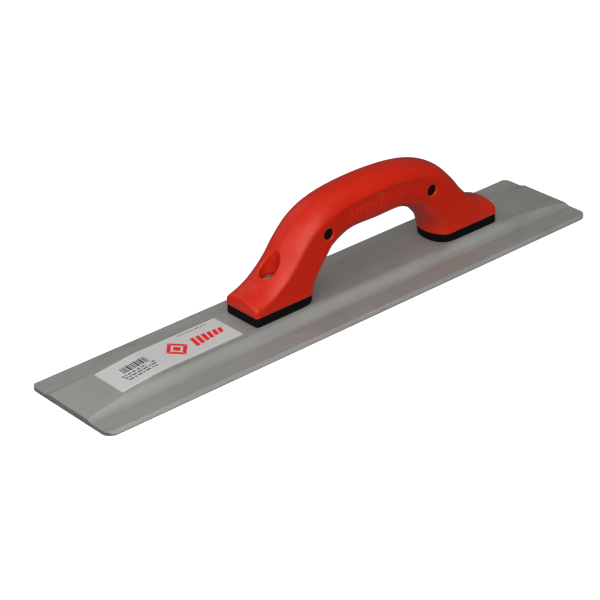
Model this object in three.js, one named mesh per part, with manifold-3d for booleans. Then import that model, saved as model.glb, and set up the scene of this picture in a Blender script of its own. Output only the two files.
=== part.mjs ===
// Hand float for finishing concrete: one light-alloy extruded blade, a handle with a hard core
// and a soft overmoulded grip, the screws and washers that hold it, and a paper label.
// Millimetres, +Z up. The origin is the centre of the blade's working face, +X runs along the
// blade away from the label, and the handle sits a little towards +X.

import * as THREE from 'three';
import { mergeVertices } from 'three/addons/utils/BufferGeometryUtils.js';
import Module from 'manifold-3d';

const wasm = await Module();
wasm.setup();

// ---- Driving dimensions ------------------------------------------------------------------

const INCH = 25.4;

// Blade
const BLADE_LENGTH = 16 * INCH;
const BLADE_WIDTH = 3.125 * INCH;
const FLANGE_THICKNESS = 3.0;
const PLAN_CORNER_RADIUS = 7;
const LAND_HALF_WIDTH = 15.3;
const LAND_HEIGHT = 10.2;
const COVE_RADIUS = 9.2;
const LONG_EDGE_BEVEL = 2.0;
const SOLE_EDGE_BEVEL = 0.4;
const TAPER_START_X = 144.5;
const TAPER_END_HEIGHT = 4.4;

// Handle, symmetric about its own middle
const HANDLE_X = 34.5;
const HANDLE_HALF_WIDTH = 15.4;
const FOOT_TOP = 16.5;
const FOOT_INSET = 0.4;
const TOE_REACH = 105.4;
const TOE_CORNER_RADIUS = 2.6;
const LEAST_CORNER_RADIUS = 0.8;
const HANDLE_TOP = 80;
const SKIN = 3.4;
const SKIN_GAP = 0.3;
const RINGS_PER_STATION = 3;

// Half the handle, from beyond the toe to the middle of the grip. Each station pairs a point of
// the back with the point of the underside that faces it, as [reach, height] in the side view,
// and says how deep the crown of the back and the rounding of the underside are.
const STATIONS = [
  { back: [114, 22.6], under: [108, 0], depths: [5.5, 9.5] },
  { back: [96, 28.5], under: [77, 0], depths: [6, 12] },
  { back: [85, 36.1], under: [56.4, 5], depths: [7, 11.5] },
  { back: [77, 44.4], under: [52.8, 14.5], depths: [8, 14] },
  { back: [69, 54.4], under: [51, 24], depths: [8.7, 9.5] },
  { back: [58, 64.8], under: [43, 34], depths: [9.2, 10] },
  { back: [44, 71.6], under: [36.5, 39.8], depths: [9.3, 12.2] },
  { back: [25, 75.5], under: [22, 45.6], depths: [9.3, 12.2] },
  { back: [0, 76.8], under: [0, 45.7], depths: [9.3, 12.2] },
];

// Side bosses of the core, which show through the grip
const BOSS_RADIUS = 3.5;
const BOSS_RECESS = 0.8;
const BOSS_REACH = 44.7;
const BOSS_HEIGHT = 53.8;

// Fixings, one at each foot
const WELL_REACH = 81.2;
const WELL_RADIUS = 6.7;
const WELL_LINER = 1.3;
const WELL_FLOOR = 26;
const LINER_BOTTOM = 28.7;
const SCREW_RADIUS = 0.125 * INCH;
const SCREW_LENGTH = INCH;
const THREAD_PITCH = INCH / 20;
const THREAD_DEPTH = 0.6;
const THREADED_LENGTH = 10;
const HEAD_RADIUS = 6.0;
const HEAD_HEIGHT = 3.6;
const HEAD_RIM = 1.1;
const DRIVE_SLOT_WIDTH = 1.3;
const CLEARANCE = 0.35;
const FLAT_WASHER = { inner: 3.6, outer: 6.3, thickness: 1.1 };
const LOCK_WASHER = { inner: 3.5, outer: 5.6, thickness: 1.5, splitHalfAngle: 0.16 };
const BLIND_HOLE_FLOOR = 2.8;

// Label
const LABEL_FROM_X = -173.3;
const LABEL_TO_X = -81;
const LABEL_WIDTH = 28;
const LABEL_THICKNESS = 0.2;
const LABEL_CORNER_RADIUS = 0.6;
const ADHESIVE_GAP = 0.05;

// ---- Solids helpers ----------------------------------------------------------------------

// A closed geometry as a solid that can be cut and joined.
function toSolid(geometry) {
  const bare = geometry.clone();
  bare.deleteAttribute('normal');
  bare.deleteAttribute('uv');
  const merged = mergeVertices(bare, 1e-4);
  return new wasm.Manifold(new wasm.Mesh({
    numProp: 3,
    vertProperties: new Float32Array(merged.attributes.position.array),
    triVerts: new Uint32Array(merged.index.array),
  }));
}

function toGeometry(solid) {
  const mesh = solid.getMesh();
  const geometry = new THREE.BufferGeometry();
  geometry.setAttribute('position', new THREE.BufferAttribute(mesh.vertProperties, 3));
  geometry.setIndex(new THREE.BufferAttribute(mesh.triVerts, 1));
  geometry.computeVertexNormals();
  return geometry;
}

function namedMesh(name, geometry, color, roughness, metalness) {
  const material = new THREE.MeshStandardMaterial({ color, roughness, metalness });
  const mesh = new THREE.Mesh(geometry, material);
  mesh.name = name;
  return mesh;
}

// A shape drawn in the plan (X, Y), raised from one height to another.
function raisedPlan(shape, low, high, curveSegments = 12) {
  const settings = { depth: high - low, bevelEnabled: false, curveSegments };
  return new THREE.ExtrudeGeometry(shape, settings).translate(0, 0, low);
}

// A shape drawn in the side view (X, Z), spread evenly across the width.
function acrossWidth(shape, width) {
  const geometry = new THREE.ExtrudeGeometry(shape, { depth: width, bevelEnabled: false });
  const sideView = new THREE.Matrix4().makeBasis(
    new THREE.Vector3(1, 0, 0),
    new THREE.Vector3(0, 0, 1),
    new THREE.Vector3(0, -1, 0),
  );
  return geometry.applyMatrix4(sideView).translate(0, width / 2, 0);
}

// A shape drawn in the end view (Y, Z), run along the length.
function alongLength(shape, length) {
  const settings = { depth: length, bevelEnabled: false, curveSegments: 10 };
  const geometry = new THREE.ExtrudeGeometry(shape, settings);
  const endView = new THREE.Matrix4().makeBasis(
    new THREE.Vector3(0, 1, 0),
    new THREE.Vector3(0, 0, 1),
    new THREE.Vector3(1, 0, 0),
  );
  return geometry.applyMatrix4(endView).translate(-length / 2, 0, 0);
}

function uprightCylinder(radius, low, high, x) {
  const geometry = new THREE.CylinderGeometry(radius, radius, high - low, 32);
  return geometry.rotateX(Math.PI / 2).translate(x, 0, (low + high) / 2);
}

// A profile of [radius, height] points turned about the vertical axis.
function turned(profile, segments) {
  const points = profile.map(([radius, height]) => new THREE.Vector2(radius, height));
  return new THREE.LatheGeometry(points, segments).rotateX(Math.PI / 2);
}

function roundedRectangle(fromX, toX, width, radius) {
  const half = width / 2;
  const shape = new THREE.Shape();
  shape.moveTo(fromX + radius, -half);
  shape.lineTo(toX - radius, -half);
  shape.absarc(toX - radius, -half + radius, radius, -Math.PI / 2, 0);
  shape.absarc(toX - radius, half - radius, radius, 0, Math.PI / 2);
  shape.absarc(fromX + radius, half - radius, radius, Math.PI / 2, Math.PI);
  shape.absarc(fromX + radius, -half + radius, radius, Math.PI, 1.5 * Math.PI);
  return shape;
}

function landHeightAt(x) {
  const slope = (LAND_HEIGHT - TAPER_END_HEIGHT) / (BLADE_LENGTH / 2 - TAPER_START_X);
  return LAND_HEIGHT - slope * Math.max(0, Math.abs(x) - TAPER_START_X);
}

// ---- Blade -------------------------------------------------------------------------------

// Half of the extrusion's section, from the sole's edge up to the land, then mirrored.
function bladeSection() {
  const edge = BLADE_WIDTH / 2;
  const coveCentreZ = FLANGE_THICKNESS + COVE_RADIUS;
  const topAngle = Math.asin((coveCentreZ - LAND_HEIGHT) / COVE_RADIUS);
  const coveCentreY = LAND_HALF_WIDTH + COVE_RADIUS * Math.cos(topAngle);
  const shape = new THREE.Shape();
  shape.moveTo(-edge + SOLE_EDGE_BEVEL, 0);
  shape.lineTo(edge - SOLE_EDGE_BEVEL, 0);
  shape.lineTo(edge, SOLE_EDGE_BEVEL);
  shape.lineTo(edge, FLANGE_THICKNESS - LONG_EDGE_BEVEL);
  shape.lineTo(edge - LONG_EDGE_BEVEL, FLANGE_THICKNESS);
  shape.absarc(coveCentreY, coveCentreZ, COVE_RADIUS, 1.5 * Math.PI, Math.PI + topAngle, true);
  shape.absarc(-coveCentreY, coveCentreZ, COVE_RADIUS, -topAngle, -Math.PI / 2, true);
  shape.lineTo(-edge + LONG_EDGE_BEVEL, FLANGE_THICKNESS);
  shape.lineTo(-edge, FLANGE_THICKNESS - LONG_EDGE_BEVEL);
  shape.lineTo(-edge, SOLE_EDGE_BEVEL);
  return shape;
}

// The wedge that is milled off the land at one end; side is -1 or 1.
function endTaperCut(side) {
  const beyond = BLADE_LENGTH / 2 + 5;
  const above = LAND_HEIGHT + 10;
  const corners = [
    [TAPER_START_X, LAND_HEIGHT],
    [beyond, landHeightAt(beyond)],
    [beyond, above],
    [TAPER_START_X, above],
  ];
  const shape = new THREE.Shape(corners.map(([x, z]) => new THREE.Vector2(side * x, z)));
  return toSolid(acrossWidth(shape, BLADE_WIDTH));
}

function buildBlade() {
  const half = BLADE_LENGTH / 2;
  const plan = roundedRectangle(-half, half, BLADE_WIDTH, PLAN_CORNER_RADIUS);
  let blade = toSolid(alongLength(bladeSection(), BLADE_LENGTH));
  blade = blade.intersect(toSolid(raisedPlan(plan, -1, LAND_HEIGHT + 1, 8)));
  for (const side of [-1, 1]) {
    const hole = uprightCylinder(
      SCREW_RADIUS + CLEARANCE,
      BLIND_HOLE_FLOOR,
      LAND_HEIGHT + 1,
      HANDLE_X + side * WELL_REACH,
    );
    blade = blade.subtract(endTaperCut(side)).subtract(toSolid(hole));
  }
  return namedMesh('blade', toGeometry(blade), 0x8e8c88, 0.42, 0.9);
}

// ---- Handle body -------------------------------------------------------------------------

// The handle is a row of rings across it, each from a point of its underside to the point of
// its back that faces it. The row is mirrored about the middle of the grip.
function sideCurve(edge) {
  const half = STATIONS.map((station) => station[edge]);
  const left = half.map(([reach, z]) => new THREE.Vector2(-reach, z));
  const right = half.slice(0, -1).map(([reach, z]) => new THREE.Vector2(reach, z));
  return new THREE.SplineCurve(left.concat(right.reverse()));
}

// The depths of the crown and of the underside's rounding along the same row.
function depthCurve() {
  const half = STATIONS.map(({ depths }) => new THREE.Vector2(...depths));
  return new THREE.SplineCurve(half.concat(half.slice(0, -1).reverse()));
}

// An elliptical quarter turn about a centre, as [across, along] pairs.
function quarterTurn(centre, radii, fromAngle, steps) {
  const points = [];
  for (let i = 0; i <= steps; i += 1) {
    const angle = fromAngle + (i / steps) * (Math.PI / 2);
    points.push([
      centre[0] + radii[0] * Math.cos(angle),
      centre[1] + radii[1] * Math.sin(angle),
    ]);
  }
  return points;
}

// One ring as [across, along] pairs: a rounded underside, flat sides and a crowned back.
function ringOutline(height, crownDepth, underDepth, inset) {
  const halfWidth = HANDLE_HALF_WIDTH - inset;
  const crown = crownDepth - inset;
  const round = underDepth - inset;
  const half = [
    ...quarterTurn([0, round], [halfWidth, round], -Math.PI / 2, 5),
    ...quarterTurn([0, height - crown], [halfWidth, crown], 0, 7),
  ];
  const otherHalf = half.slice(1, -1).map(([across, along]) => [-across, along]);
  return half.concat(otherHalf.reverse());
}

// The rings of the handle's body, drawn in by an inset all round.
function handleRings(inset) {
  const back = sideCurve('back');
  const under = sideCurve('under');
  const depths = depthCurve();
  const count = RINGS_PER_STATION * (back.points.length - 1);
  const rings = [];
  for (let i = 0; i <= count; i += 1) {
    const start = under.getPoint(i / count);
    const along = back.getPoint(i / count).sub(start);
    const height = along.length() - 2 * inset;
    const { x: crownDepth, y: underDepth } = depths.getPoint(i / count);
    along.normalize();
    start.addScaledVector(along, inset);
    rings.push(ringOutline(height, crownDepth, underDepth, inset).map(([y, rise]) => new THREE.Vector3(
      HANDLE_X + start.x + along.x * rise,
      y,
      start.y + along.y * rise,
    )));
  }
  return rings;
}

// Closed skin over a row of rings with a fan at each end.
function skinRings(rings) {
  const size = rings[0].length;
  const positions = rings.flat().flatMap((point) => [point.x, point.y, point.z]);
  const indices = [];
  for (let i = 0; i + 1 < rings.length; i += 1) {
    for (let j = 0; j < size; j += 1) {
      const next = (j + 1) % size;
      const a = i * size + j;
      const b = i * size + next;
      const c = (i + 1) * size + next;
      const d = (i + 1) * size + j;
      indices.push(a, b, c, a, c, d);
    }
  }
  const last = (rings.length - 1) * size;
  for (let j = 1; j + 1 < size; j += 1) {
    indices.push(0, j + 1, j);
    indices.push(last, last + j, last + j + 1);
  }
  const geometry = new THREE.BufferGeometry();
  geometry.setAttribute('position', new THREE.Float32BufferAttribute(positions, 3));
  geometry.setIndex(indices);
  return geometry;
}

// The handle's body drawn in by an inset, trimmed to the toes and to a range of heights.
function handleBody(inset, low, high) {
  const plan = roundedRectangle(
    HANDLE_X - TOE_REACH + inset,
    HANDLE_X + TOE_REACH - inset,
    2 * (HANDLE_HALF_WIDTH - inset),
    Math.max(TOE_CORNER_RADIUS - inset, LEAST_CORNER_RADIUS),
  );
  const trim = toSolid(raisedPlan(plan, low, high, 4));
  return toSolid(skinRings(handleRings(inset))).intersect(trim);
}

function crossBar(side, radius, length) {
  const geometry = new THREE.CylinderGeometry(radius, radius, length, 24);
  return toSolid(geometry.translate(HANDLE_X + side * BOSS_REACH, 0, BOSS_HEIGHT));
}

function wellBore(side, radius, low) {
  return toSolid(uprightCylinder(radius, low, HANDLE_TOP, HANDLE_X + side * WELL_REACH));
}

// ---- Handle core: two foot flanges and the bar between them ------------------------------

function buildCore() {
  let core = handleBody(SKIN, FOOT_TOP - 1, HANDLE_TOP);
  core = core.add(handleBody(FOOT_INSET, LAND_HEIGHT, FOOT_TOP));
  for (const side of [-1, 1]) {
    core = core.add(crossBar(side, BOSS_RADIUS, 2 * (HANDLE_HALF_WIDTH - BOSS_RECESS)));
    core = core.subtract(wellBore(side, WELL_RADIUS + WELL_LINER + SKIN_GAP, WELL_FLOOR));
    core = core.subtract(wellBore(side, SCREW_RADIUS + CLEARANCE, LAND_HEIGHT - 1));
  }
  return namedMesh('handle_core', toGeometry(core), 0x1b1b1c, 0.6, 0);
}

// ---- Grip: soft skin over the core that also lines the wells, open at feet and bosses -----

function buildGrip() {
  const body = handleBody(0, FOOT_TOP, HANDLE_TOP);
  let grip = body.subtract(handleBody(SKIN - SKIN_GAP, FOOT_TOP - 1, HANDLE_TOP));
  for (const side of [-1, 1]) {
    const liner = wellBore(side, WELL_RADIUS + WELL_LINER, LINER_BOTTOM).intersect(body);
    grip = grip.add(liner).subtract(wellBore(side, WELL_RADIUS, FOOT_TOP - 1));
    grip = grip.subtract(crossBar(side, BOSS_RADIUS + SKIN_GAP, 3 * HANDLE_HALF_WIDTH));
  }
  return namedMesh('handle_grip', toGeometry(grip), 0xd22f1c, 0.5, 0);
}

// ---- Fixings -----------------------------------------------------------------------------

// Screw with its head's seat at height 0; the thread is a row of ridges.
function screwSolid() {
  const profile = [[0, -SCREW_LENGTH], [SCREW_RADIUS - THREAD_DEPTH, -SCREW_LENGTH]];
  const ridges = Math.round(THREADED_LENGTH / THREAD_PITCH);
  for (let i = 0; i < ridges; i += 1) {
    const low = -SCREW_LENGTH + i * THREAD_PITCH;
    profile.push([SCREW_RADIUS, low + THREAD_PITCH / 2], [SCREW_RADIUS - THREAD_DEPTH, low + THREAD_PITCH]);
  }
  profile.push([SCREW_RADIUS - THREAD_DEPTH, 0], [HEAD_RADIUS, 0]);
  const domeSteps = 5;
  for (let i = 0; i <= domeSteps; i += 1) {
    const angle = (i / domeSteps) * (Math.PI / 2);
    profile.push([HEAD_RADIUS * Math.cos(angle), HEAD_RIM + (HEAD_HEIGHT - HEAD_RIM) * Math.sin(angle)]);
  }
  profile[profile.length - 1][0] = 0;
  let screw = toSolid(turned(profile, 20));
  for (const turn of [0, Math.PI / 2]) {
    const slot = new THREE.BoxGeometry(HEAD_RADIUS, DRIVE_SLOT_WIDTH, HEAD_HEIGHT);
    screw = screw.subtract(toSolid(slot.rotateZ(turn).translate(0, 0, HEAD_HEIGHT)));
  }
  return screw;
}

function flatWasher() {
  const { inner, outer, thickness } = FLAT_WASHER;
  return turned([[inner, 0], [outer, 0], [outer, thickness], [inner, thickness], [inner, 0]], 28);
}

// Spring washer: a ring with a split in it.
function lockWasher() {
  const { inner, outer, thickness, splitHalfAngle } = LOCK_WASHER;
  const shape = new THREE.Shape();
  shape.absarc(0, 0, outer, splitHalfAngle, 2 * Math.PI - splitHalfAngle);
  shape.absarc(0, 0, inner, 2 * Math.PI - splitHalfAngle, splitHalfAngle, true);
  return raisedPlan(shape, 0, thickness, 14);
}

function buildFixings(side, name) {
  const fixings = new THREE.Group();
  fixings.position.set(HANDLE_X + side * WELL_REACH, 0, WELL_FLOOR);
  const washer = namedMesh(`${name}_washer`, flatWasher(), 0xb9bbbd, 0.3, 1);
  const spring = namedMesh(`${name}_lock_washer`, lockWasher(), 0xaeb0b2, 0.35, 1);
  const screw = namedMesh(`${name}_screw`, toGeometry(screwSolid()), 0xc4c6c8, 0.25, 1);
  spring.position.z = FLAT_WASHER.thickness;
  screw.position.z = FLAT_WASHER.thickness + LOCK_WASHER.thickness;
  fixings.add(washer, spring, screw);
  return fixings;
}

// ---- Label: a strip of paper that bends over the start of the taper -----------------------

function buildLabel() {
  const bends = [LABEL_FROM_X, -TAPER_START_X, LABEL_TO_X];
  const under = bends.map((x) => new THREE.Vector2(x, landHeightAt(x) + ADHESIVE_GAP));
  const over = under.map((point) => new THREE.Vector2(point.x, point.y + LABEL_THICKNESS)).reverse();
  const strip = toSolid(acrossWidth(new THREE.Shape(under.concat(over)), LABEL_WIDTH));
  const plan = roundedRectangle(LABEL_FROM_X, LABEL_TO_X, LABEL_WIDTH, LABEL_CORNER_RADIUS);
  const label = strip.intersect(toSolid(raisedPlan(plan, 0, 2 * LAND_HEIGHT, 5)));
  return namedMesh('label', toGeometry(label), 0xdcdcda, 0.65, 0);
}

// ---- The whole float ---------------------------------------------------------------------

const handFloat = new THREE.Group();
handFloat.add(buildBlade(), buildCore(), buildGrip());
handFloat.add(buildFixings(-1, 'front'), buildFixings(1, 'rear'));
handFloat.add(buildLabel());

export default handFloat;
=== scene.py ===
"""Looks for a hand float: an alloy blade, a two-material bow handle, its fixings and a label.

Every shape is built in millimetres in the row frame (+X along the blade away from the label, +Y
across it, +Z up, origin at the centre of the working face) and turned into metres when it is
placed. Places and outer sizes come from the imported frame; the constants below are the finer
sizes that the frame's boxes don't give.
"""

import math
import random

import bmesh
import bpy
import numpy as np
from mathutils import Matrix, Vector


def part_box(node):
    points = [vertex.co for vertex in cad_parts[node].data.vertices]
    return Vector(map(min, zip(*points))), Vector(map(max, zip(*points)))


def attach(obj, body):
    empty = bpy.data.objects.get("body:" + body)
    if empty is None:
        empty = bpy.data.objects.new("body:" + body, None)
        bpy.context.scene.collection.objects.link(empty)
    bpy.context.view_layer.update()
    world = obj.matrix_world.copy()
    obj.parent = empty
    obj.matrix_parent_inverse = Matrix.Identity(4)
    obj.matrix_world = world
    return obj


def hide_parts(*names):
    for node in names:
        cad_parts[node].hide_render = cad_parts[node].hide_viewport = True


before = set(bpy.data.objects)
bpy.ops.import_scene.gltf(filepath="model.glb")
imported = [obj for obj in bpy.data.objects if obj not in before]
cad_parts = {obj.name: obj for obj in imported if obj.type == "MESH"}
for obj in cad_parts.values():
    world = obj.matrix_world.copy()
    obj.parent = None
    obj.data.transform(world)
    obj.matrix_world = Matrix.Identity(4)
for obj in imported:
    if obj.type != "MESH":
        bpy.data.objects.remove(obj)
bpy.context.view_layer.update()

MM = 0.001
TURN = 2 * math.pi
QUARTER = math.pi / 2

# ---- Blade ---------------------------------------------------------------------------------

FLANGE_THICKNESS = 3.0
PLAN_CORNER_RADIUS = 7.0
COVE_RADIUS = 9.2
COVE_CENTRE_Y = 24.28
LONG_EDGE_BEVEL = 2.0
SOLE_EDGE_BEVEL = 0.4
EDGE_EASE = 0.35
EDGE_ROUND = 0.25
TAPER_START_X = 144.5
TAPER_END_HEIGHT = 4.4
BLIND_HOLE_FLOOR = 2.8

# ---- Handle --------------------------------------------------------------------------------

# Half the handle, from beyond the toe to the middle of the grip. Each station pairs a point of
# the back with the point of the underside that faces it, as (reach, height) in the side view,
# and says how deep the crown of the back and the rounding of the underside are.
BACK = [
    (114, 22.6), (96, 28.5), (85, 36.1), (77, 44.4), (69, 54.4), (58, 64.8), (44, 71.6), (25, 75.5), (0, 76.8)
]
UNDER = [
    (108, 0), (77, 0), (56.4, 5), (52.8, 14.5), (51, 24), (43, 34), (36.5, 39.8), (22, 45.6), (0, 45.7)
]
CROWN_AND_ROUNDING = [
    (5.5, 9.5), (6, 12), (7, 11.5), (8, 14), (8.7, 9.5), (9.2, 10), (9.3, 12.2), (9.3, 12.2), (9.3, 12.2)
]
RINGS_PER_STATION = 14
TOE_CORNER_RADIUS = 2.6
LEAST_CORNER_RADIUS = 0.8
FOOT_INSET = 0.4
SKIN = 3.4
SKIN_GAP = 0.3
BOSS_RADIUS = 3.5
BOSS_RECESS = 0.8
BOSS_REACH = 44.7
BOSS_HEIGHT = 53.8
WELL_RADIUS = 6.7
WELL_LINER = 1.3
LINER_BOTTOM = 28.7
VOXEL = 0.5
SOFTENING_STEPS = 5
TOE_ROUNDING_STEPS = 40

# Recessed panel on each side of the grip, with a row of low slanted ribs on it
PANEL_DEPTH = 0.75
PANEL_REACH = 27.0
PANEL_FADE = 13.0
PANEL_TOP = 10.2
PANEL_EDGE = 2.2
RIB_HEIGHT = 0.65
RIB_PITCH = 4.2
RIB_FROM = -23.0
RIB_TO = 7.5
RIB_TOP = 13.4
RIB_BOTTOM = 21.0
RIB_SLANT = 0.35

# ---- Fixings -------------------------------------------------------------------------------

SCREW_RADIUS = 3.175
THREAD_PITCH = 1.27
THREAD_DEPTH = 0.6
THREADED_LENGTH = 10.0
HEAD_RADIUS = 6.0
HEAD_HEIGHT = 3.6
HEAD_RIM = 1.1
CLEARANCE = 0.35
HEAD_EASE = 0.25
DRIVE_SLOT_WIDTH = 1.3
DRIVE_SLOT_DEPTH = 2
DRIVE_SLOT_FLARE = 0.25
WASHER_BORES = {"washer": 3.6, "lock_washer": 3.5}
SPLIT_HALF_ANGLE = 0.16

# ---- Label ---------------------------------------------------------------------------------

LABEL_CORNER_RADIUS = 0.6
INK_LIFT = 0.003
INK_THICKNESS = 0.012

# ---- View ----------------------------------------------------------------------------------

CAMERA_AZIMUTH = math.radians(-40.40248)
CAMERA_ELEVATION = math.radians(28.55589)
CAMERA_ROLL = math.radians(-1.87827)
CAMERA_DISTANCE = 1.345847
CAMERA_TARGET = Vector((-0.0150036, 0.0089094, 0))
LENS = 126.5735

# Softboxes as (name, place in metres, width in metres, watts)
SOFTBOXES = (
    ("behind_camera", (-0.7, -0.8, 1.3), 1.5, 13.8),
    ("left", (-1.3, 0.3, 0.9), 1.6, 8.4),
    ("front", (-0.45, -1.35, 0.6), 1.3, 9.6),
    ("top", (0.0, 0.1, 1.5), 1.4, 2.2),
    ("far", (-0.1, 1.3, 0.8), 1.2, 1.6),
)
FILL_LEVEL = 0.11
FLOOR_GLOW = 0.75
FLOOR_GAP = 0.0001
FLOOR_HALF_WIDTH = 4.0


def box_mm(node):
    """Lowest and highest corner of a CAD node, in millimetres."""
    low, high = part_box(node)
    return np.array(low) / MM, np.array(high) / MM


blade_low, blade_high = box_mm("blade")
core_low, core_high = box_mm("handle_core")
grip_low, grip_high = box_mm("handle_grip")
label_low, label_high = box_mm("label")
HALF_LENGTH = blade_high[0]
HALF_WIDTH = blade_high[1]
LAND_HEIGHT = blade_high[2]
HANDLE_X = (grip_low[0] + grip_high[0]) / 2
HANDLE_HALF_WIDTH = grip_high[1]
TOE_REACH = (grip_high[0] - grip_low[0]) / 2
FOOT_TOP = grip_low[2]
HANDLE_TOP = grip_high[2] + 4


# ---- Mesh helpers --------------------------------------------------------------------------


def new_object(name, points, faces):
    """A mesh object in millimetres with its faces turned outwards."""
    mesh = bpy.data.meshes.new(name)
    mesh.from_pydata([tuple(p) for p in points], [], [tuple(f) for f in faces])
    work = bmesh.new()
    work.from_mesh(mesh)
    bmesh.ops.remove_doubles(work, verts=work.verts, dist=1e-5)
    bmesh.ops.dissolve_degenerate(work, edges=work.edges, dist=1e-6)
    bmesh.ops.recalc_face_normals(work, faces=work.faces)
    work.to_mesh(mesh)
    work.free()
    made = bpy.data.objects.new(name, mesh)
    bpy.context.scene.collection.objects.link(made)
    return made


def skin(name, rings, closed_row=False):
    """A closed skin over a row of rings that all have the same number of points."""
    count = len(rings)
    size = len(rings[0])
    faces = []
    for i in range(count if closed_row else count - 1):
        for j in range(size):
            near, far = i * size, ((i + 1) % count) * size
            step = (j + 1) % size
            faces.append((near + j, near + step, far + step, far + j))
    if not closed_row:
        faces.append(tuple(range(size - 1, -1, -1)))
        faces.append(tuple((count - 1) * size + j for j in range(size)))
    return new_object(name, np.concatenate(rings), faces)


def bake(made):
    """Applies an object's modifiers."""
    graph = bpy.context.evaluated_depsgraph_get()
    mesh = bpy.data.meshes.new_from_object(made.evaluated_get(graph))
    old = made.data
    made.modifiers.clear()
    made.data = mesh
    bpy.data.meshes.remove(old)
    return made


def combine(base, other, operation):
    """Joins, cuts or intersects base with another object, which is used up."""
    modifier = base.modifiers.new(operation.lower(), "BOOLEAN")
    modifier.operation = operation
    modifier.solver = "MANIFOLD"
    modifier.object = other
    bake(base)
    bpy.data.objects.remove(other)
    return base


def cylinder(radius, low, high, centre, along="Z", segments=96):
    """A closed cylinder from low to high along an axis, through centre."""
    angles = np.linspace(0, TURN, segments, endpoint=False)
    circle = np.stack([radius * np.cos(angles), radius * np.sin(angles)], 1)
    rings = []
    for level in (low, high):
        height = np.full((segments, 1), level)
        if along == "Z":
            rings.append(np.hstack([circle + centre[:2], height]))
        else:
            side = circle + [centre[0], centre[2]]
            rings.append(np.hstack([side[:, :1], height, side[:, 1:]]))
    return skin("cylinder", rings)


def prism(outline, low, high):
    """A plan outline raised from one height to another."""
    flat = np.array(outline, float)
    return skin("prism", [np.hstack([flat, np.full((len(flat), 1), z)]) for z in (low, high)])


def rounded_rectangle(from_x, to_x, half_width, radius, steps=10):
    """Plan outline of a rectangle with round corners, as (x, y) points."""
    outline = []
    low_x, high_x = from_x + radius, to_x - radius
    centre_y = half_width - radius
    for x, side, quarter in ((high_x, 1, 0), (low_x, 1, 1), (low_x, -1, 2), (high_x, -1, 3)):
        for i in range(steps + 1):
            angle = (quarter + i / steps) * QUARTER
            outline.append((x + radius * math.cos(angle), side * centre_y + radius * math.sin(angle)))
    return outline


def soften(made):
    """Remeshes a solid finely and evens it out, which rounds its edges as a mould does."""
    remesh = made.modifiers.new("remesh", "REMESH")
    remesh.mode = "VOXEL"
    remesh.voxel_size = VOXEL
    even = made.modifiers.new("even", "SMOOTH")
    even.factor = 0.5
    even.iterations = SOFTENING_STEPS
    return bake(made)


def round_toes(made):
    """Rounds the upper edges of the toes further than the rest of the moulding."""
    count = len(made.data.vertices)
    points = np.empty(count * 3)
    made.data.vertices.foreach_get("co", points)
    points = points.reshape(count, 3)
    shares = smooth_step(abs(points[:, 0] - HANDLE_X), TOE_REACH - 9, TOE_REACH - 5)
    shares *= smooth_step(points[:, 2], FOOT_TOP + 0.5, FOOT_TOP + 3.5)
    group = made.vertex_groups.new(name="toes")
    for index in np.flatnonzero(shares > 0.01):
        group.add([int(index)], float(shares[index]), "REPLACE")
    even = made.modifiers.new("toes", "SMOOTH")
    even.factor = 0.5
    even.iterations = TOE_ROUNDING_STEPS
    even.vertex_group = group.name
    return bake(made)


def place(made, material, sharp_angle=35):
    """Turns a finished shape into metres, shades it and puts it on the float's only body."""
    made.data.transform(Matrix.Scale(MM, 4))
    made.data.shade_smooth()
    made.data.set_sharp_from_angle(angle=math.radians(sharp_angle))
    made.data.materials.clear()
    made.data.materials.append(material)
    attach(made, "root")
    return made


def even_normals(made):
    """Lets broad faces keep their own normals next to narrow rounded edges."""
    modifier = made.modifiers.new("normals", "WEIGHTED_NORMAL")
    modifier.keep_sharp = True
    modifier.weight = 100
    return bake(made)


# ---- Node materials ------------------------------------------------------------------------


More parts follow.
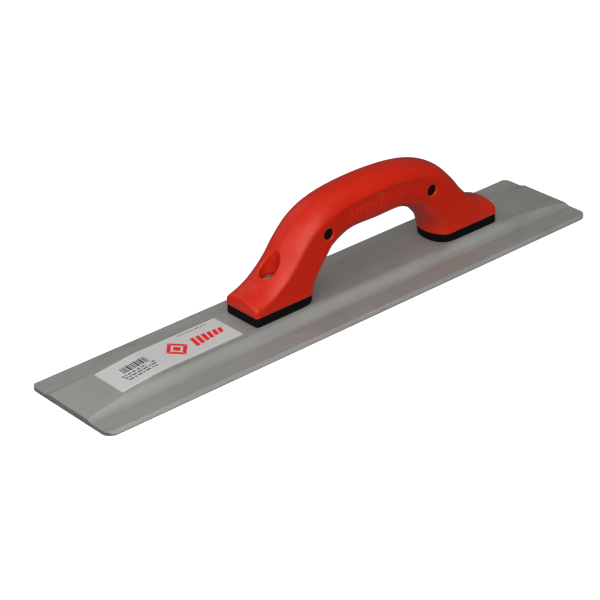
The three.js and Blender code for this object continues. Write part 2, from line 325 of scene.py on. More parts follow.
class Look:
    """A node material that is built up from short calls. Noise scales are per metre."""

    def __init__(self, name):
        self.material = bpy.data.materials.new(name)
        self.material.use_nodes = True
        self.nodes = self.material.node_tree.nodes
        self.links = self.material.node_tree.links
        self.shader = self.nodes["Principled BSDF"]
        self.where = self.nodes.new("ShaderNodeTexCoord").outputs["Object"]
        self.geometry = self.nodes.new("ShaderNodeNewGeometry")

    def feed(self, socket, value):
        if isinstance(value, bpy.types.NodeSocket):
            self.links.new(value, socket)
        else:
            socket.default_value = value

    def node(self, kind, inputs, **settings):
        made = self.nodes.new("ShaderNode" + kind)
        for key, value in settings.items():
            setattr(made, key, value)
        for key, value in inputs.items():
            self.feed(made.inputs[key], value)
        return made

    def noise(self, scale, stretch=(1, 1, 1), turn=(0, 0, 0), detail=3.0, roughness=0.5):
        turned = self.node("Mapping", {"Vector": self.where, "Rotation": turn})
        inputs = {"Vector": turned.outputs[0], "Scale": stretch}
        stretched = self.node("Mapping", inputs)
        inputs = {"Vector": stretched.outputs[0], "Scale": scale, "Detail": detail, "Roughness": roughness}
        return self.node("TexNoise", inputs).outputs["Fac"]

    def span(self, value, from_low, from_high, to_low=0.0, to_high=1.0):
        inputs = {
            "Value": value,
            "From Min": from_low,
            "From Max": from_high,
            "To Min": to_low,
            "To Max": to_high,
        }
        return self.node("MapRange", inputs).outputs["Result"]

    def math(self, operation, a, b=0.0):
        return self.node("Math", {0: a, 1: b}, operation=operation).outputs[0]

    def mix(self, factor, a, b):
        inputs = {0: factor, 6: a, 7: b}
        return self.node("Mix", inputs, data_type="RGBA").outputs[2]

    def normal_part(self, axis):
        parts = self.node("SeparateXYZ", {0: self.geometry.outputs["True Normal"]})
        return self.math("ABSOLUTE", parts.outputs[axis])

    def grazing(self, low, high, most):
        """Share that grows to most where a surface turns away from the eye."""
        facing = self.node("LayerWeight", {"Blend": 0.5}).outputs["Facing"]
        return self.span(facing, low, high, 0.0, most)

    def convex_edges(self, low, high):
        return self.span(self.geometry.outputs["Pointiness"], low, high)

    def bump(self, height, distance, strength=1.0, under=None):
        inputs = {"Height": height, "Distance": distance, "Strength": strength}
        if under is not None:
            inputs["Normal"] = under
        return self.node("Bump", inputs).outputs["Normal"]

    def finish(self, **inputs):
        for key, value in inputs.items():
            self.feed(self.shader.inputs[key.replace("_", " ")], value)
        return self.material


def colour(red, green, blue):
    return (red, green, blue, 1.0)


def alloy_material():
    """Extruded light alloy: lengthwise die lines, dull patches, fine scratches, bright edges, and painted
    shade on the end faces, upright faces and rims that turn away.
    """
    look = Look("alloy")
    die_lines = look.noise(1.0, stretch=(5, 900, 900), detail=4, roughness=0.65)
    fine_lines = look.noise(1.0, stretch=(22, 4200, 4200), detail=2)
    patches = look.noise(26, stretch=(0.45, 1, 1), detail=5, roughness=0.6)
    stains = look.span(look.noise(48, stretch=(0.35, 1, 1), detail=6, roughness=0.7), 0.56, 0.74)
    base = look.mix(look.span(patches, 0.3, 0.7), colour(0.402, 0.399, 0.375), colour(0.47, 0.467, 0.444))
    base = look.mix(look.span(die_lines, 0.35, 0.65, 0.0, 0.4), base, colour(0.33, 0.325, 0.31))
    base = look.mix(look.math("MULTIPLY", stains, 0.6), base, colour(0.285, 0.24, 0.205))

    # Milled ramps at the ends are cut crosswise, and the end faces are sawn
    tilt = look.normal_part(0)
    milled = look.math("MULTIPLY", look.span(tilt, 0.05, 0.09), look.span(tilt, 0.3, 0.2))
    mill_lines = look.noise(1.0, stretch=(2600, 40, 40), detail=2)
    sawn_and_shaded = look.span(tilt, 0.6, 0.75)
    saw_lines = look.noise(1.0, stretch=(400, 120, 3600), detail=3, roughness=0.7)
    base = look.mix(look.math("MULTIPLY", milled, look.span(mill_lines, 0.3, 0.7, 0.0, 0.3)), base,
                    colour(0.46, 0.455, 0.44))
    # Painted shade: the sawn end faces are darkened because they face away from the light, and the saw lines
    # vary how dark
    base = look.mix(look.math("MULTIPLY", sawn_and_shaded, look.span(saw_lines, 0.35, 0.65, 0.2, 0.9)), base,
                    colour(0.17, 0.165, 0.16))

    # Scratches at three angles
    scratches = None
    for angle, limit in ((0.35, 0.735), (-0.6, 0.745), (1.25, 0.75)):
        mark = look.noise(1.0, stretch=(24, 1500, 1500), turn=(0, 0, angle), detail=1)
        mark = look.span(mark, limit, limit + 0.02)
        scratches = mark if scratches is None else look.math("MAXIMUM", scratches, mark)
    edges = look.convex_edges(0.52, 0.58)
    bright = look.math("MAXIMUM", look.math("MULTIPLY", scratches, 0.5), look.math("MULTIPLY", edges, 0.6))
    base = look.mix(bright, base, colour(0.66, 0.655, 0.64))

    # Painted shade: faces that stand upright across the blade are darkened
    painted_side_shade = look.span(look.normal_part(1), 0.88, 0.97, 0.0, 0.45)
    base = look.mix(painted_side_shade, base, colour(0.19, 0.188, 0.178))
    # Painted shade: rims that turn away from the eye are darkened
    base = look.mix(look.grazing(0.78, 1.0, 0.7), base, colour(0.08, 0.08, 0.075))

    roughness = look.span(patches, 0.3, 0.7, 0.54, 0.62)
    roughness = look.math("ADD", roughness, look.span(fine_lines, 0.3, 0.7, -0.05, 0.05))
    roughness = look.math("ADD", roughness, look.math("MULTIPLY", sawn_and_shaded, 0.12))
    roughness = look.math("SUBTRACT", roughness, look.math("MULTIPLY", bright, 0.14))
    normal = look.bump(look.noise(55, stretch=(0.3, 1, 1), detail=2), 0.00022, 0.55)
    normal = look.bump(die_lines, 0.00003, 0.55, normal)
    normal = look.bump(fine_lines, 0.000012, 0.5, normal)
    normal = look.bump(look.math("MULTIPLY", sawn_and_shaded, saw_lines), 0.00012, 0.8, normal)
    normal = look.bump(look.math("MULTIPLY", milled, mill_lines), 0.00002, 0.6, normal)
    normal = look.bump(look.math("SUBTRACT", 1.0, scratches), 0.00002, 0.6, normal)
    lengthwise = look.node("CombineXYZ", {0: 1.0, 1: 0.0, 2: 0.0}).outputs[0]
    return look.finish(
        Base_Color=base,
        Metallic=0.56,
        Roughness=roughness,
        Anisotropic=0.2,
        Tangent=lengthwise,
        Normal=normal,
    )


def grip_material():
    """Soft red elastomer: fine moulded grain, slow colour drift, rubbed and dusty places, a painted highlight
    on convex edges and painted shade on rims.
    """
    look = Look("grip_rubber")
    drift = look.noise(22, detail=3)
    mottle = look.noise(260, detail=4, roughness=0.6)
    grain = look.noise(3800, detail=2, roughness=0.6)
    pebble = look.noise(1500, detail=2)
    dust = look.span(look.noise(95, stretch=(1, 1, 0.6), detail=7, roughness=0.72), 0.60, 0.80)
    scuffs = look.noise(1.0, stretch=(70, 900, 260), turn=(0, 0.5, 0.4), detail=4, roughness=0.7)
    scuffs = look.span(scuffs, 0.66, 0.76)
    marks = look.math("MAXIMUM", look.math("MULTIPLY", dust, 0.10), look.math("MULTIPLY", scuffs, 0.07))
    edges = look.convex_edges(0.515, 0.56)
    base = look.mix(look.span(drift, 0.3, 0.7), colour(0.61, 0.015, 0.002), colour(0.69, 0.022, 0.003))
    base = look.mix(look.span(mottle, 0.35, 0.7, 0.0, 0.25), base, colour(0.50, 0.009, 0.002))
    # Painted highlight: convex edges are lightened
    base = look.mix(look.math("MULTIPLY", edges, 0.45), base, colour(0.82, 0.10, 0.05))
    base = look.mix(marks, base, colour(0.80, 0.42, 0.34))
    # Painted shade: rims that turn away from the eye are darkened
    base = look.mix(look.grazing(0.72, 1.0, 0.8), base, colour(0.20, 0.006, 0.003))
    roughness = look.span(mottle, 0.3, 0.7, 0.31, 0.39)
    roughness = look.math("ADD", roughness, look.math("MULTIPLY", marks, 0.8))
    normal = look.bump(look.noise(70, detail=2), 0.0003, 0.35)
    normal = look.bump(pebble, 0.00005, 0.35, normal)
    normal = look.bump(grain, 0.00003, 0.5, normal)
    return look.finish(
        Base_Color=base,
        Roughness=roughness,
        Normal=normal,
        Subsurface_Weight=0.03,
        Subsurface_Scale=0.0006,
        Specular_IOR_Level=0.32,
    )


def core_material():
    """Semi-matte black moulded plastic with a fine spark-eroded grain and a painted sheen on its edges."""
    look = Look("core_plastic")
    cloud = look.noise(180, detail=4, roughness=0.6)
    grain = look.noise(2600, detail=3, roughness=0.65)
    # Painted sheen: convex edges are lightened in patches
    painted_edge_sheen = look.math("MULTIPLY", look.convex_edges(0.51, 0.56), look.span(cloud, 0.35, 0.6))
    dust = look.span(look.noise(420, detail=6, roughness=0.75), 0.62, 0.8)
    base = look.mix(look.span(cloud, 0.3, 0.7), colour(0.003, 0.003, 0.0033), colour(0.006, 0.006, 0.0065))
    base = look.mix(look.math("MULTIPLY", painted_edge_sheen, 0.10), base, colour(0.06, 0.062, 0.065))
    base = look.mix(look.math("MULTIPLY", dust, 0.05), base, colour(0.20, 0.19, 0.18))
    roughness = look.span(cloud, 0.3, 0.7, 0.48, 0.60)
    normal = look.bump(cloud, 0.0001, 0.3)
    normal = look.bump(grain, 0.00005, 0.6, normal)
    return look.finish(Base_Color=base, Roughness=roughness, Specular_IOR_Level=0.05, Normal=normal)


def zinc_material():
    """Bright zinc plate with turning marks and a few dull spots."""
    look = Look("zinc_steel")
    spots = look.noise(900, detail=5, roughness=0.65)
    turning = look.noise(1.0, stretch=(700, 700, 5200), detail=3)
    base = look.mix(look.span(spots, 0.35, 0.7), colour(0.72, 0.73, 0.745), colour(0.58, 0.585, 0.57))
    base = look.mix(look.span(turning, 0.4, 0.7, 0.0, 0.3), base, colour(0.82, 0.82, 0.83))
    roughness = look.span(spots, 0.3, 0.7, 0.18, 0.36)
    normal = look.bump(turning, 0.00002, 0.5)
    normal = look.bump(spots, 0.00003, 0.3, normal)
    return look.finish(Base_Color=base, Metallic=1.0, Roughness=roughness, Normal=normal)


def paper_material():
    """Coated label paper: soft fibres, slight soiling and a thin satin coat."""
    look = Look("paper")
    fibres = look.noise(1.0, stretch=(1800, 4200, 3000), detail=5, roughness=0.7)
    soil = look.span(look.noise(130, detail=5, roughness=0.65), 0.48, 0.75)
    waves = look.noise(85, stretch=(1, 0.5, 1), detail=2)
    edges = look.convex_edges(0.53, 0.6)
    base = look.mix(look.span(fibres, 0.35, 0.65), colour(0.56, 0.55, 0.54), colour(0.63, 0.62, 0.605))
    base = look.mix(look.math("MULTIPLY", soil, 0.22), base, colour(0.50, 0.47, 0.42))
    base = look.mix(look.math("MULTIPLY", edges, 0.3), base, colour(0.82, 0.82, 0.81))
    normal = look.bump(waves, 0.0003, 0.5)
    normal = look.bump(fibres, 0.000015, 0.5, normal)
    return look.finish(
        Base_Color=base,
        Roughness=look.span(fibres, 0.3, 0.7, 0.42, 0.56),
        Coat_Weight=0.15,
        Coat_Roughness=0.3,
        Normal=normal,
    )


def ink_material(name, full, thin):
    """Printing ink that covers a little unevenly."""
    look = Look(name)
    cover = look.noise(2400, detail=4, roughness=0.7)
    cloud = look.noise(300, detail=3)
    base = look.mix(look.span(cover, 0.45, 0.8), full, thin)
    normal = look.bump(cover, 0.00001, 0.4)
    return look.finish(Base_Color=base, Roughness=look.span(cloud, 0.3, 0.7, 0.36, 0.5), Normal=normal)


# ---- Blade ---------------------------------------------------------------------------------


def land_height_at(x):
    """Height of the land, which ramps down near both ends."""
    slope = (LAND_HEIGHT - TAPER_END_HEIGHT) / (HALF_LENGTH - TAPER_START_X)
    return LAND_HEIGHT - slope * max(0.0, abs(x) - TAPER_START_X)


def round_corners(points, radius, steps=4):
    """Replaces each flagged (y, z, flag) corner of an open outline by a short curve."""
    outline = []
    for i, (y, z, flag) in enumerate(points):
        if not flag:
            outline.append((y, z))
            continue
        here = np.array((y, z))
        back = np.array(points[i - 1][:2]) - here
        ahead = np.array(points[i + 1][:2]) - here
        reach = min(radius, 0.45 * np.linalg.norm(back), 0.45 * np.linalg.norm(ahead))
        start = here + back / max(np.linalg.norm(back), 1e-9) * reach
        end = here + ahead / max(np.linalg.norm(ahead), 1e-9) * reach
        for k in range(steps + 1):
            t = k / steps
            outline.append(tuple((1 - t) ** 2 * start + 2 * t * (1 - t) * here + t * t * end))
    return outline


def blade_ring(x, edge, cove_steps=24):
    """The blade's section at x as a closed ring, for a half width of edge."""
    height = land_height_at(x)
    drop = max(EDGE_EASE, edge - (HALF_WIDTH - LONG_EDGE_BEVEL))
    cove_centre_z = FLANGE_THICKNESS + COVE_RADIUS
    top_angle = math.acos((cove_centre_z - height) / COVE_RADIUS)
    half = [
        (0.0, 0.0, False),
        (edge - SOLE_EDGE_BEVEL, 0.0, True),
        (edge, SOLE_EDGE_BEVEL, True),
        (edge, FLANGE_THICKNESS - drop, True),
        (edge - drop, FLANGE_THICKNESS, True),
    ]
    for i in range(cove_steps + 1):
        angle = top_angle * i / cove_steps
        y = COVE_CENTRE_Y - COVE_RADIUS * math.sin(angle)
        z = cove_centre_z - COVE_RADIUS * math.cos(angle)
        half.append((y, z, i == cove_steps))
    half.append((0.0, height, False))
    outline = round_corners(half, EDGE_ROUND)
    ring = outline + [(-y, z) for y, z in outline[-2:0:-1]]

    # The last fraction of a millimetre draws in, which eases the sawn edge
    inside = HALF_LENGTH - abs(x)
    ease = EDGE_ROUND - math.sqrt(max(0.0, EDGE_ROUND**2 - max(0.0, EDGE_ROUND - inside) ** 2))
    squeeze = (height - 2 * ease) / height
    return np.array([(x, y, ease + z * squeeze) for y, z in ring])


def blade_stations():
    """(x, half width) pairs from the middle of the blade to its end."""
    stations = [(x, HALF_WIDTH) for x in np.linspace(0, TAPER_START_X - 0.4, 16)]
    corner_start = HALF_LENGTH - PLAN_CORNER_RADIUS
    stations += [(x, HALF_WIDTH) for x in np.linspace(TAPER_START_X + 0.4, corner_start, 26)[:-1]]
    for angle in np.linspace(0, QUARTER, 21):
        x = corner_start + PLAN_CORNER_RADIUS * math.sin(angle)
        stations.append((x, HALF_WIDTH - PLAN_CORNER_RADIUS * (1 - math.cos(angle))))
    return stations


def build_blade(material):
    half = blade_stations()
    stations = [(-x, edge) for x, edge in reversed(half[1:])] + half
    blade = skin("alloy_blade", [blade_ring(x, edge) for x, edge in stations])
    for screw in ("front_screw", "rear_screw"):
        low, high = box_mm(screw)
        centre = (low + high) / 2
        hole = cylinder(SCREW_RADIUS + CLEARANCE, BLIND_HOLE_FLOOR, LAND_HEIGHT + 5, centre)
        combine(blade, hole, "DIFFERENCE")
    place(blade, material, 30)
    even_normals(blade)
    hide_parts("blade")


# ---- Handle --------------------------------------------------------------------------------


def smooth_step(value, low, high):
    t = np.clip((value - low) / (high - low), 0, 1)
    return t * t * (3 - 2 * t)


def spline(points, shares):
    """Catmull-Rom curve through points at shares from 0 to 1."""
    points = np.array(points, float)
    last = len(points) - 1
    places = shares * last
    start = np.minimum(places.astype(int), last - 1)
    t = (places - start)[:, None]
    before, here = points[np.maximum(start - 1, 0)], points[start]
    after, beyond = points[start + 1], points[np.minimum(start + 2, last)]
    leave = (after - before) / 2
    arrive = (beyond - here) / 2
    cubic = (2 * here - 2 * after + leave + arrive) * t**3
    square = (3 * after - 3 * here - 2 * leave - arrive) * t**2
    return cubic + square + leave * t + here


def mirrored(half):
    """A half row of (reach, height) points completed to run from one toe to the other."""
    return [(-reach, z) for reach, z in half] + half[-2::-1]


def quarter_turn(centre, radii, from_angle, steps):
    angles = from_angle + np.linspace(0, QUARTER, steps + 1)
    return np.stack([centre[0] + radii[0] * np.cos(angles), centre[1] + radii[1] * np.sin(angles)], 1)


def side_relief(reach, depth):
    """How far the side stands out from the flat, at a reach and a depth below the back."""
    along = 1 - smooth_step(abs(reach), PANEL_REACH, PANEL_REACH + PANEL_FADE)
    inside = smooth_step(depth, PANEL_TOP - PANEL_EDGE, PANEL_TOP)
    relief = -PANEL_DEPTH * along * inside
    slanted = reach + RIB_SLANT * (depth - RIB_TOP)
    wave = 0.5 + 0.5 * np.cos(TURN * (slanted - RIB_FROM) / RIB_PITCH)
    past_row = smooth_step(slanted, RIB_TO, RIB_TO + 1)
    row = smooth_step(slanted, RIB_FROM - 1, RIB_FROM) * (1 - past_row)
    below_band = smooth_step(depth, RIB_BOTTOM - 0.4, RIB_BOTTOM + 0.6)
    band = smooth_step(depth, RIB_TOP - 0.6, RIB_TOP + 0.4) * (1 - below_band)
    return relief + RIB_HEIGHT * row * band * smooth_step(wave, 0.55, 0.8)


def handle_rings(inset, with_relief):
    """Rings across the handle, each from the underside to the back that faces it."""
    shares = np.linspace(0, 1, RINGS_PER_STATION * (2 * len(BACK) - 2) + 1)
    back = spline(mirrored(BACK), shares)
    under = spline(mirrored(UNDER), shares)
    depths = spline(CROWN_AND_ROUNDING + CROWN_AND_ROUNDING[-2::-1], shares) - inset
    half_width = HANDLE_HALF_WIDTH - inset
    rings = []
    for top, bottom, (crown, rounding) in zip(back, under, depths):
        along = (top - bottom) / np.linalg.norm(top - bottom)
        height = np.linalg.norm(top - bottom) - 2 * inset
        start = bottom + along * inset
        low = quarter_turn((0, rounding), (half_width, rounding), -QUARTER, 26)
        high = quarter_turn((0, height - crown), (half_width, crown), 0, 26)
        levels = np.linspace(rounding, height - crown, 30)[1:-1]
        flat = np.stack([np.full(len(levels), half_width), levels], 1)
        half = np.concatenate([low, flat, high])
        if with_relief:
            reach = start[0] + along[0] * half[:, 1]
            share = smooth_step(half[:, 0], half_width - 2.5, half_width - 0.2)
            half[:, 0] += side_relief(reach, height - half[:, 1]) * share
        outline = np.concatenate([half, half[-2:0:-1] * [-1, 1]])
        rings.append(np.stack([
            HANDLE_X + start[0] + along[0] * outline[:, 1],
            outline[:, 0],
            start[1] + along[1] * outline[:, 1],
        ], 1))
    return rings


def handle_body(inset, low, high, with_relief=False):
    """The handle drawn in by an inset, trimmed to the toes and to a range of heights."""
    body = skin("handle_body", handle_rings(inset, with_relief))
    reach = TOE_REACH - inset
    radius = max(TOE_CORNER_RADIUS - inset, LEAST_CORNER_RADIUS)
    plan = rounded_rectangle(HANDLE_X - reach, HANDLE_X + reach, HANDLE_HALF_WIDTH - inset, radius)
    return combine(body, prism(plan, low, high), "INTERSECT")


def well_centre(side):
    low, high = box_mm("rear_screw" if side > 0 else "front_screw")
    return (low + high) / 2


def well(side, radius, low):
    return cylinder(radius, low, HANDLE_TOP, well_centre(side))


def cross_bar(side, radius, half_length):
    centre = (HANDLE_X + side * BOSS_REACH, 0, BOSS_HEIGHT)
    return cylinder(radius, -half_length, half_length, centre, along="Y")


def build_core(material):
    well_floor = box_mm("front_washer")[0][2]
    core = handle_body(SKIN, FOOT_TOP - 1, HANDLE_TOP)
    combine(core, handle_body(FOOT_INSET, core_low[2], FOOT_TOP), "UNION")
    for side in (-1, 1):
        combine(core, cross_bar(side, BOSS_RADIUS, HANDLE_HALF_WIDTH - BOSS_RECESS), "UNION")
        combine(core, well(side, WELL_RADIUS + WELL_LINER + SKIN_GAP, well_floor), "DIFFERENCE")
        combine(core, well(side, SCREW_RADIUS + CLEARANCE, core_low[2] - 1), "DIFFERENCE")
    soften(core)
    core.name = "black_core"
    place(core, material, 60)
    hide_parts("handle_core")


def build_grip(material):
    grip = handle_body(0, FOOT_TOP, HANDLE_TOP, with_relief=True)
    hollow = handle_body(SKIN - SKIN_GAP, FOOT_TOP - 1, HANDLE_TOP)
    for side in (-1, 1):
        liner = well(side, WELL_RADIUS + WELL_LINER, LINER_BOTTOM)
        combine(liner, well(side, WELL_RADIUS, 0), "DIFFERENCE")
        combine(hollow, liner, "DIFFERENCE")
    combine(grip, hollow, "DIFFERENCE")
    for side in (-1, 1):
        combine(grip, well(side, WELL_RADIUS, FOOT_TOP - 1), "DIFFERENCE")
        combine(grip, cross_bar(side, BOSS_RADIUS + SKIN_GAP, 2 * HANDLE_HALF_WIDTH), "DIFFERENCE")
    soften(grip)
    round_toes(grip)
    grip.name = "red_grip"
    place(grip, material, 60)
    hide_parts("handle_grip")


# ---- Fixings -------------------------------------------------------------------------------


def threaded_screw(length):
    """A round-head screw with its seat at height 0 and a helical thread at its tip end."""
    segments = 64
    angles = np.linspace(0, TURN, segments, endpoint=False)
    root = SCREW_RADIUS - THREAD_DEPTH
    rings = []
    steps_per_turn = 10
    rows = int(THREADED_LENGTH / THREAD_PITCH * steps_per_turn)
    for i in range(rows + 1):
        z = -length + i * THREAD_PITCH / steps_per_turn
        phase = (z / THREAD_PITCH - angles / TURN) % 1.0
        crest = 1 - np.abs(2 * phase - 1)
        start = min(1.0, i / steps_per_turn)
        finish = min(1.0, (rows - i) / steps_per_turn)
        radii = root + THREAD_DEPTH * np.clip(1.25 * crest - 0.1, 0, 1) * min(start, finish)
        if i == 0:
            radii = radii - 0.3
        rings.append(np.stack([radii * np.cos(angles), radii * np.sin(angles), np.full(segments, z)], 1))
    under_head = [(root, -0.4), (root + 0.1, -0.1), (root + 0.4, 0)]
    profile = under_head + [(HEAD_RADIUS - HEAD_EASE, 0), (HEAD_RADIUS, HEAD_EASE)]
    for i in range(17):
        angle = i / 16 * QUARTER
        radius = max(HEAD_RADIUS * math.cos(angle), 0.05)
        profile.append((radius, HEAD_RIM + (HEAD_HEIGHT - HEAD_RIM) * math.sin(angle)))
    for radius, z in profile:
        rings.append(np.stack([radius * np.cos(angles), radius * np.sin(angles), np.full(segments, z)], 1))
    screw = skin("screw", rings)
    for turn in (0, QUARTER):
        half = DRIVE_SLOT_WIDTH / 2
        reach = HEAD_RADIUS / 2
        floor = block(-reach + 1, reach - 1, -half, half)
        mouth = block(-reach, reach, -half - DRIVE_SLOT_FLARE, half + DRIVE_SLOT_FLARE)
        levels = ((floor, HEAD_HEIGHT - DRIVE_SLOT_DEPTH), (mouth, HEAD_HEIGHT + 1))
        slot = skin("slot", [np.array([(x, y, z) for x, y in outline]) for outline, z in levels])
        slot.data.transform(Matrix.Rotation(turn, 4, "Z"))
        combine(screw, slot, "DIFFERENCE")
    return screw


def flat_washer(inner, outer, thickness):
    """A stamped ring whose upper edge is rolled more than its lower one."""
    ease = min(0.25, thickness / 4)
    section = [
        (inner, ease), (inner + ease, 0), (outer - ease / 2, 0), (outer, ease / 2),
        (outer, thickness - ease), (outer - 0.3 * ease, thickness - 0.3 * ease), (outer - ease, thickness),
        (inner + ease, thickness), (inner, thickness - ease),
    ]
    angles = np.linspace(0, TURN, 96, endpoint=False)
    rings = [np.array([(r * math.cos(a), r * math.sin(a), z) for r, z in section]) for a in angles]
    return skin("washer", rings, closed_row=True)


def lock_washer(inner, outer, thickness):
    """A flat split ring with eased edges."""
    ease = 0.2
    section = [
        (inner, ease), (inner + ease, 0), (outer - ease, 0), (outer, ease),
        (outer, thickness - ease), (outer - ease, thickness),
        (inner + ease, thickness), (inner, thickness - ease),
    ]
    angles = np.linspace(SPLIT_HALF_ANGLE, TURN - SPLIT_HALF_ANGLE, 90)
    rings = [np.array([(r * math.cos(a), r * math.sin(a), z) for r, z in section]) for a in angles]
    return skin("lock_washer", rings)


def build_fixings(material):
    for end in ("front", "rear"):
        for kind in ("washer", "lock_washer", "screw"):
            node = f"{end}_{kind}"
            low, high = box_mm(node)
            seat = low[2]
            if kind == "screw":
                seat = high[2] - HEAD_HEIGHT
                piece = threaded_screw(seat - low[2])
            else:
                make = flat_washer if kind == "washer" else lock_washer
                piece = make(WASHER_BORES[kind], (high[1] - low[1]) / 2, high[2] - low[2])
            centre = (low + high) / 2
            piece.data.transform(Matrix.Translation((centre_x(end), centre[1], seat)))
            piece.name = f"zinc_{node}"
            place(piece, material)
            even_normals(piece)
            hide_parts(node)


def centre_x(end):
    low, high = box_mm(f"{end}_screw")
    return (low[0] + high[0]) / 2


# ---- Label ---------------------------------------------------------------------------------

LABEL_GAP = label_low[2] - land_height_at(label_low[0])
LABEL_THICKNESS = label_high[2] - LAND_HEIGHT - LABEL_GAP


def label_top_at(x):
    return land_height_at(x) + LABEL_GAP + LABEL_THICKNESS


def label_half_width_at(x):
    """Half the label's width, less where its corners are rounded."""
    inside = min(x - label_low[0], label_high[0] - x)
    short = max(0.0, LABEL_CORNER_RADIUS - inside)
    return label_high[1] - LABEL_CORNER_RADIUS + math.sqrt(LABEL_CORNER_RADIUS**2 - short**2)


def build_label(material):
    arc = LABEL_CORNER_RADIUS * (1 - np.cos(np.linspace(0, QUARTER, 9)))
    middle = np.linspace(label_low[0] + LABEL_CORNER_RADIUS, label_high[0] - LABEL_CORNER_RADIUS, 91)[1:-1]
    rings = []
    for x in np.concatenate([label_low[0] + arc, middle, label_high[0] - arc[::-1]]):
        half = label_half_width_at(x)
        top = label_top_at(x)
        across = np.linspace(-half, half, 13)
        over = [(x, y, top) for y in across]
        below = [(x, y, top - LABEL_THICKNESS) for y in across[::-1]]
        rings.append(np.array(over + below))
    label = skin("paper_label", rings)
    place(label, material, 40)
    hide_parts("label")


def ink(name, outlines, material):
    """Printed areas, each a thin prism that follows the label's top."""
    points, faces = [], []
    for outline in outlines:
        first = len(points)
        count = len(outline)
        for lift in (INK_LIFT, INK_LIFT + INK_THICKNESS):
            points += [(x, y, label_top_at(x) + lift) for x, y in outline]
        faces.append(tuple(range(first + count - 1, first - 1, -1)))
        faces.append(tuple(range(first + count, first + 2 * count)))
        for i in range(count):
            step = (i + 1) % count
            faces.append((first + i, first + step, first + count + step, first + count + i))
    place(new_object(name, points, faces), material, 1)


def block(x0, x1, y0, y1, slant=0.0):
    return [(x0, y0), (x1, y0), (x1 + slant, y1), (x0 + slant, y1)]


def bar_block(draw, from_x, to_x, low, high):
    """Upright bars of mixed widths that stand for a bar code."""
    bars = []
    x = from_x
    while x < to_x:
        width = draw.choice((0.6, 0.8, 1.3))
        bars.append(block(x, min(x + width, to_x), low, high))
        x += width + draw.choice((0.6, 0.8))
    return bars


def dash_line(draw, from_x, to_x, y, height):
    """A row of plain dashes that stands for a line of small print."""
    dashes = []
    x = from_x
    while x < to_x:
        width = draw.uniform(1.2, 3.6)
        dashes.append(block(x, min(x + width, to_x), y, y + height))
        x += width + draw.uniform(0.6, 1.1)
    return dashes


def build_print(dark, red):
    """Generic print: bars, dashes, and a plain red diamond beside slanted stripes."""
    draw = random.Random(11)
    start, end = label_low[0], label_high[0]
    marks = bar_block(draw, start + 12.8, start + 31.3, 0.5, 6.8)
    for i, y in enumerate((-2.2, -4.8, -7.4)):
        marks += dash_line(draw, start + 9.0 + 0.8 * i, start + 33.5 - 0.6 * i, y, 1.1)
    ink("grey_print", marks, dark)
    ink("grey_side_line", dash_line(draw, end - 31, end - 8, 11.3, 0.75), dark)
    middle, reach_x, reach_y = end - 40.5, 8.2, 9.4
    sides = []
    for i in range(4):
        start_corner = Vector((math.cos(i * QUARTER), math.sin(i * QUARTER)))
        end_corner = Vector((math.cos((i + 1) * QUARTER), math.sin((i + 1) * QUARTER)))
        tips = [start_corner.lerp(end_corner, share) for share in (0.02, 0.98)]
        corners = tips + [tip * 0.6 for tip in reversed(tips)]
        sides.append([(middle + reach_x * u, reach_y * v) for u, v in corners])
    heart = []
    for i in range(4):
        u, v = math.cos(i * QUARTER), math.sin(i * QUARTER)
        heart.append((middle + 0.36 * reach_x * u, 0.36 * reach_y * v))
    stripes = []
    for i in range(6):
        shift = 4.1 * i
        stripes.append(block(end - 29.5 + shift, end - 26.6 + shift, -6.0 + 0.6 * i, 4.2 - 0.3 * i, 2.0))
    ink("red_print", sides + [heart] + stripes, red)


# ---- Stage ---------------------------------------------------------------------------------


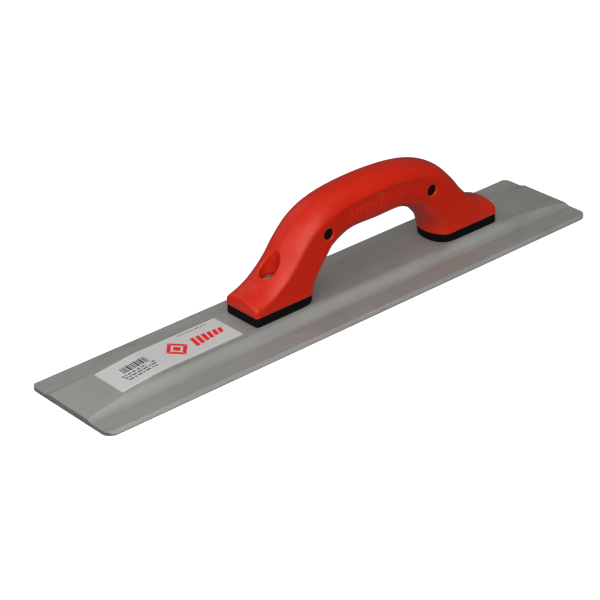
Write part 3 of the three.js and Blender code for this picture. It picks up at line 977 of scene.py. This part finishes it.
def build_floor():
    """A pale floor that can be seen through from below, so that the sole can be looked at."""
    low = blade_low[2] * MM - FLOOR_GAP
    mesh = bpy.data.meshes.new("floor")
    size = FLOOR_HALF_WIDTH
    corners = [(x, y, low) for x, y in block(-size, size, -size, size)]
    mesh.from_pydata(corners, [], [(0, 1, 2, 3)])
    floor = bpy.data.objects.new("floor", mesh)
    bpy.context.scene.collection.objects.link(floor)
    look = Look("floor_paint")
    tone = look.noise(3, detail=2)
    base = look.mix(look.span(tone, 0.3, 0.7), colour(0.90, 0.90, 0.90), colour(0.92, 0.92, 0.92))
    look.finish(
        Base_Color=base,
        Roughness=0.7,
        Specular_IOR_Level=0.2,
        Emission_Color=colour(1.0, 1.0, 1.0),
        Emission_Strength=FLOOR_GLOW,
        Alpha=look.math("SUBTRACT", 1.0, look.geometry.outputs["Backfacing"]),
    )
    mesh.materials.append(look.material)
    floor.visible_diffuse = False
    floor.visible_glossy = False


def build_world():
    """A dim grey surround that fills the shadows."""
    world = bpy.data.worlds.new("studio")
    bpy.context.scene.world = world
    world.use_nodes = True
    background = world.node_tree.nodes["Background"]
    background.inputs["Color"].default_value = colour(*[FILL_LEVEL] * 3)


def softbox(name, location, size, watts):
    data = bpy.data.lights.new(name, "AREA")
    data.shape = "DISK"
    data.size = size
    data.energy = watts
    light = bpy.data.objects.new(name, data)
    light.location = location
    light.rotation_mode = "QUATERNION"
    light.rotation_quaternion = (-Vector(location)).to_track_quat("-Z", "Y")
    bpy.context.scene.collection.objects.link(light)


def build_camera():
    azimuth, elevation = CAMERA_AZIMUTH, CAMERA_ELEVATION
    back = Vector((
        math.sin(azimuth) * math.cos(elevation),
        -math.cos(azimuth) * math.cos(elevation),
        math.sin(elevation),
    ))
    right = Vector((math.cos(azimuth), math.sin(azimuth), 0))
    up = back.cross(right)
    rolled_right = math.cos(CAMERA_ROLL) * right + math.sin(CAMERA_ROLL) * up
    rolled_up = math.cos(CAMERA_ROLL) * up - math.sin(CAMERA_ROLL) * right
    turn = Matrix((rolled_right, rolled_up, back)).transposed().to_4x4()
    data = bpy.data.cameras.new("camera")
    data.lens = LENS
    camera = bpy.data.objects.new("camera", data)
    camera.matrix_world = Matrix.Translation(CAMERA_TARGET + back * CAMERA_DISTANCE) @ turn
    bpy.context.scene.collection.objects.link(camera)
    bpy.context.scene.camera = camera


# ---- The whole scene -----------------------------------------------------------------------

build_blade(alloy_material())
build_core(core_material())
build_grip(grip_material())
build_fixings(zinc_material())
build_label(paper_material())
build_print(
    ink_material("ink_dark", colour(0.018, 0.018, 0.02), colour(0.05, 0.05, 0.055)),
    ink_material("ink_red", colour(0.80, 0.012, 0.010), colour(0.82, 0.05, 0.04)),
)
build_floor()
build_world()
for name, location, width, watts in SOFTBOXES:
    softbox(name, location, width, watts)
build_camera()
bpy.context.scene.view_settings.view_transform = "Standard"
